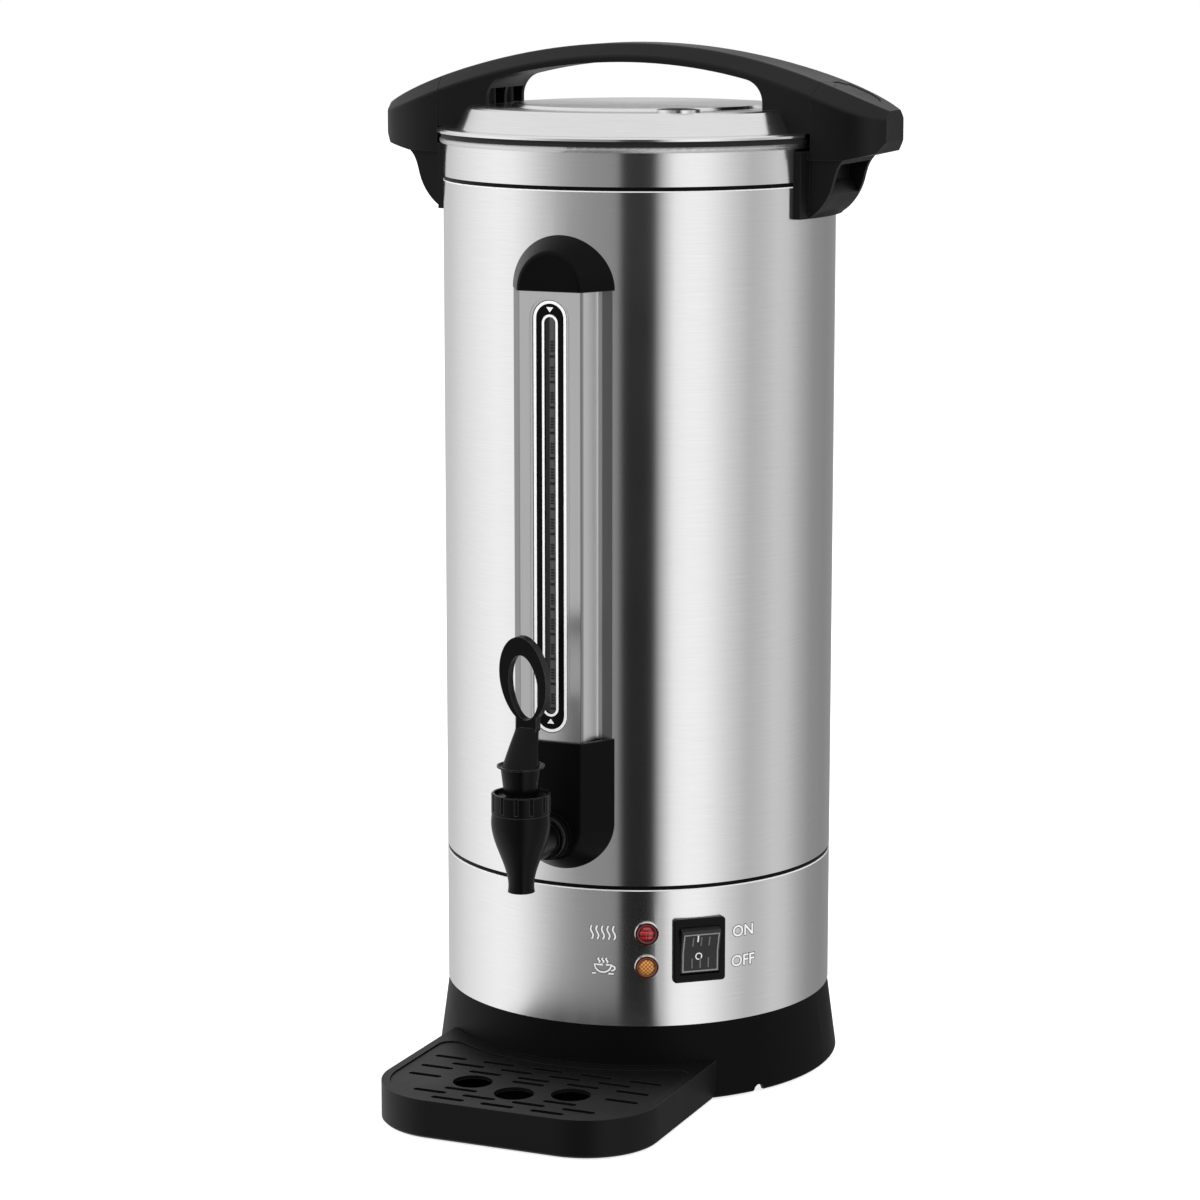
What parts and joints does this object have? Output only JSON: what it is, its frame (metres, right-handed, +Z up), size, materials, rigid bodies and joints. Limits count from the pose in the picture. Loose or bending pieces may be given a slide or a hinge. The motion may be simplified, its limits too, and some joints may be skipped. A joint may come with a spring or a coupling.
{
  "type": "coffee urn",
  "caption": "Tall cylindrical steel coffee urn with a lift-off lid under an arched handle, level gauge, lever tap, rocker switch, lamps and a slide-off drip tray.",
  "frame": {"origin": "the body's axis at the counter's surface, where the feet stand", "axes": "+Z up along the body's axis; the tap, gauge and drip tray face -Y; +X is to the right as seen from the front, and the handle's arch runs along X"},
  "size_m": [0.3, 0.321, 0.578],
  "materials": {
    "brushed_steel": "horizontally brushed stainless steel",
    "polished_steel": "polished stainless steel",
    "zinc_steel": "zinc-plated steel",
    "chrome": "bright plated",
    "aluminium": "cast, satin",
    "element_sheath": "heat-darkened sheath",
    "brass": "plain brass",
    "black_plastic": "fine-textured satin black",
    "gloss_black": "smooth black",
    "white_insulator": "off-white insulating plastic",
    "black_rubber": "black rubber",
    "white_silicone": "translucent silicone",
    "clear_plastic": "clear plastic",
    "tube_glass": "clear glass",
    "red_lens": "translucent red",
    "amber_lens": "translucent amber",
    "lead_sleeve": "heat-resistant braided sleeve"
  },
  "bodies": {
    "urn": {"base_skirt": "black_plastic", "base_plate": "zinc_steel", "base_screws": "zinc_steel", "rubber_feet": "black_rubber", "control_band": "brushed_steel", "lower_trim_ring": "black_plastic", "outer_shell": "brushed_steel", "upper_trim_ring": "black_plastic", "upper_collar": "brushed_steel", "inner_tank": "polished_steel", "tie_rods": "zinc_steel", "heat_plate": "aluminium", "heating_element": "element_sheath", "element_clamp": "zinc_steel", "heater_fasteners": "zinc_steel", "keep_warm_thermostat": "white_insulator", "thermal_cutout": "white_insulator", "terminal_block": "white_insulator", "wiring_leads": "lead_sleeve", "side_handle_right": "black_plastic", "side_handle_left": "black_plastic", "side_handle_screws": "zinc_steel", "gauge_cover": "brushed_steel", "gauge_frame": "gloss_black", "gauge_lens": "clear_plastic", "sight_tube": "tube_glass", "shank_tee": "chrome", "gauge_elbow": "chrome", "gauge_seals": "white_silicone", "gauge_top_cap": "black_plastic", "gauge_bottom_cap": "black_plastic", "tap_body": "black_plastic", "tap_bonnet": "black_plastic", "tap_washers": "black_rubber", "tap_shank_nut": "chrome", "lamp_bezels": "chrome", "heating_lamp_lens": "red_lens", "warm_lamp_lens": "amber_lens", "lamp_bodies": "gloss_black", "switch_housing": "gloss_black", "switch_terminals": "brass", "power_inlet": "gloss_black", "inlet_pins": "brass", "coffee_basket": "polished_steel", "basket_lid": "polished_steel", "pump_stem": "polished_steel"},
    "seal": {"lid_gasket": "black_rubber"},
    "lid": {"lid_shell": "brushed_steel", "lid_inner_pan": "polished_steel", "lid_vent": "gloss_black", "lid_handle": "black_plastic", "lid_handle_screws": "zinc_steel"},
    "stem": {"tap_stem": "white_insulator", "tap_seat_cup": "white_silicone", "lever_pin": "polished_steel", "tap_spring": "polished_steel"},
    "lever": {"tap_lever": "black_plastic"},
    "rocker": {"switch_rocker": "gloss_black"},
    "tray": {"drip_tray": "black_plastic"},
    "grille": {"drip_grille": "black_plastic"}
  },
  "joints": [
    {"name": "lid_lift", "type": "slide", "parent": "urn", "child": "seal", "axis": [0, 0, 1], "range_m": [0, 0.12]},
    {"name": "lid_turn", "type": "hinge", "parent": "seal", "child": "lid", "pos_m": [0, 0, 0.53], "axis": [0, 0, 1], "range_deg": [0, 30]},
    {"name": "stem_lift", "type": "slide", "parent": "urn", "child": "stem", "axis": [0, 0, 1], "range_m": [0, 0.0039], "deforming": ["tap_spring"]},
    {"name": "lever_pull", "type": "hinge", "parent": "stem", "child": "lever", "pos_m": [0, -0.1635, 0.1919], "axis": [1, 0, 0], "range_deg": [0, 30], "stiffness_Nm_per_rad": 0.12},
    {"name": "rocker_press", "type": "hinge", "parent": "urn", "child": "rocker", "pos_m": [0.07036, -0.08325, 0.086], "axis": [-0.7638, -0.6455, 0], "range_deg": [0, 18]},
    {"name": "tray_slide", "type": "slide", "parent": "urn", "child": "tray", "axis": [0, -1, 0], "range_m": [0, 0.08]},
    {"name": "grille_lift", "type": "slide", "parent": "tray", "child": "grille", "axis": [0, 0, 1], "range_m": [0, 0.06]}
  ],
  "couplings": [
    {"joint": "stem_lift", "follows": "lever_pull", "m_per_rad": 0.0072}
  ]
}
